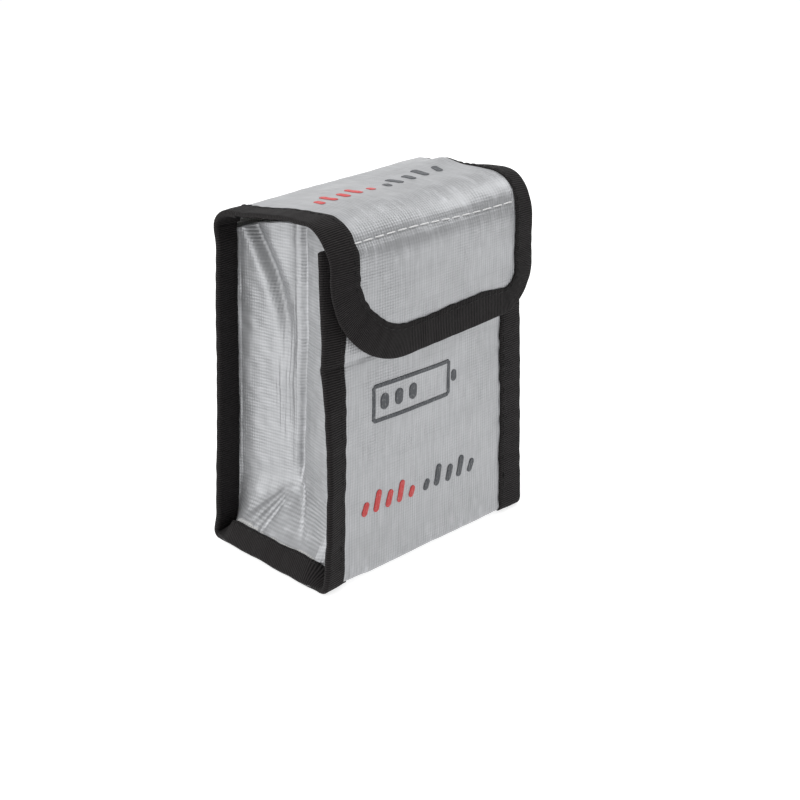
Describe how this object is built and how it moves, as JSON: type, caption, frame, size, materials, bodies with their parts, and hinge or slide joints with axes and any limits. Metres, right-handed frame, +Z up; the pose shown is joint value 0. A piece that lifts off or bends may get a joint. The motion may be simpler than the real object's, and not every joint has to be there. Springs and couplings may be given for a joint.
{
  "type": "lipo safe bag",
  "caption": "Fire-resistant battery pouch of silver coated cloth: a bound box with pleated side gussets and a fold-over flap with a hook-and-loop closure.",
  "frame": {"origin": "middle of the base, on the surface that the pouch stands on", "axes": "+X to the right as seen from the front, +Y from the front (the flap's side) to the back, +Z up"},
  "size_m": [0.092, 0.06, 0.1145],
  "materials": {
    "silver_cloth": "satin silver coating over woven glass fibre",
    "lining_cloth": "matt uncoated side of the woven glass fibre",
    "edge_tape": "black ribbed grosgrain tape",
    "loop_tape": "black soft loop pile",
    "hook_tape": "black stiff hooks",
    "black_thread": "twisted polyester thread",
    "white_thread": "twisted polyester thread"
  },
  "bodies": {
    "pouch": {"back_panel": "silver_cloth", "back_lining": "lining_cloth", "base_panel": "silver_cloth", "base_lining": "lining_cloth", "left_gusset": "silver_cloth", "left_gusset_lining": "lining_cloth", "right_gusset": "silver_cloth", "right_gusset_lining": "lining_cloth", "left_back_binding": "edge_tape", "right_back_binding": "edge_tape", "left_base_binding": "edge_tape", "right_base_binding": "edge_tape", "back_seam_thread": "black_thread", "base_seam_thread": "black_thread"},
    "front_wall": {"front_panel": "silver_cloth", "front_lining": "lining_cloth", "front_hem": "silver_cloth", "left_front_binding": "edge_tape", "right_front_binding": "edge_tape", "loop_patch": "loop_tape", "front_seam_thread": "black_thread", "loop_patch_thread": "black_thread", "front_hem_thread": "black_thread"},
    "flap_root": {"flap_root_panel": "silver_cloth", "flap_root_lining": "lining_cloth", "left_flap_root_binding": "edge_tape", "right_flap_root_binding": "edge_tape"},
    "flap_top": {"flap_top_panel": "silver_cloth", "flap_top_lining": "lining_cloth", "left_flap_top_binding": "edge_tape", "right_flap_top_binding": "edge_tape", "flap_top_thread": "black_thread"},
    "tongue": {"tongue_panel": "silver_cloth", "tongue_lining": "lining_cloth", "tongue_binding": "edge_tape", "hook_patch": "hook_tape", "tongue_seam_thread": "black_thread", "hook_patch_thread": "white_thread"}
  },
  "joints": [
    {"name": "flatten", "type": "slide", "parent": "pouch", "child": "front_wall", "axis": [0, 1, 0], "range_m": [0, 0.042], "deforming": ["left_gusset", "left_gusset_lining", "right_gusset", "right_gusset_lining", "base_panel", "base_lining", "left_base_binding", "right_base_binding", "base_seam_thread"]},
    {"name": "root_lean", "type": "hinge", "parent": "pouch", "child": "flap_root", "pos_m": [0, 0.02825, 0.10259], "axis": [-1, 0, 0], "range_deg": [0, 100]},
    {"name": "flap_open", "type": "hinge", "parent": "flap_root", "child": "flap_top", "pos_m": [0, 0.02592, 0.10854], "axis": [-1, 0, 0], "range_deg": [0, 150]},
    {"name": "tongue_lift", "type": "hinge", "parent": "flap_top", "child": "tongue", "pos_m": [0, -0.02852, 0.11193], "axis": [-1, 0, 0], "range_deg": [0, 110]}
  ],
  "couplings": [
    {"joint": "root_lean", "follows": "flap_open", "ratio": 0.66667}
  ]
}
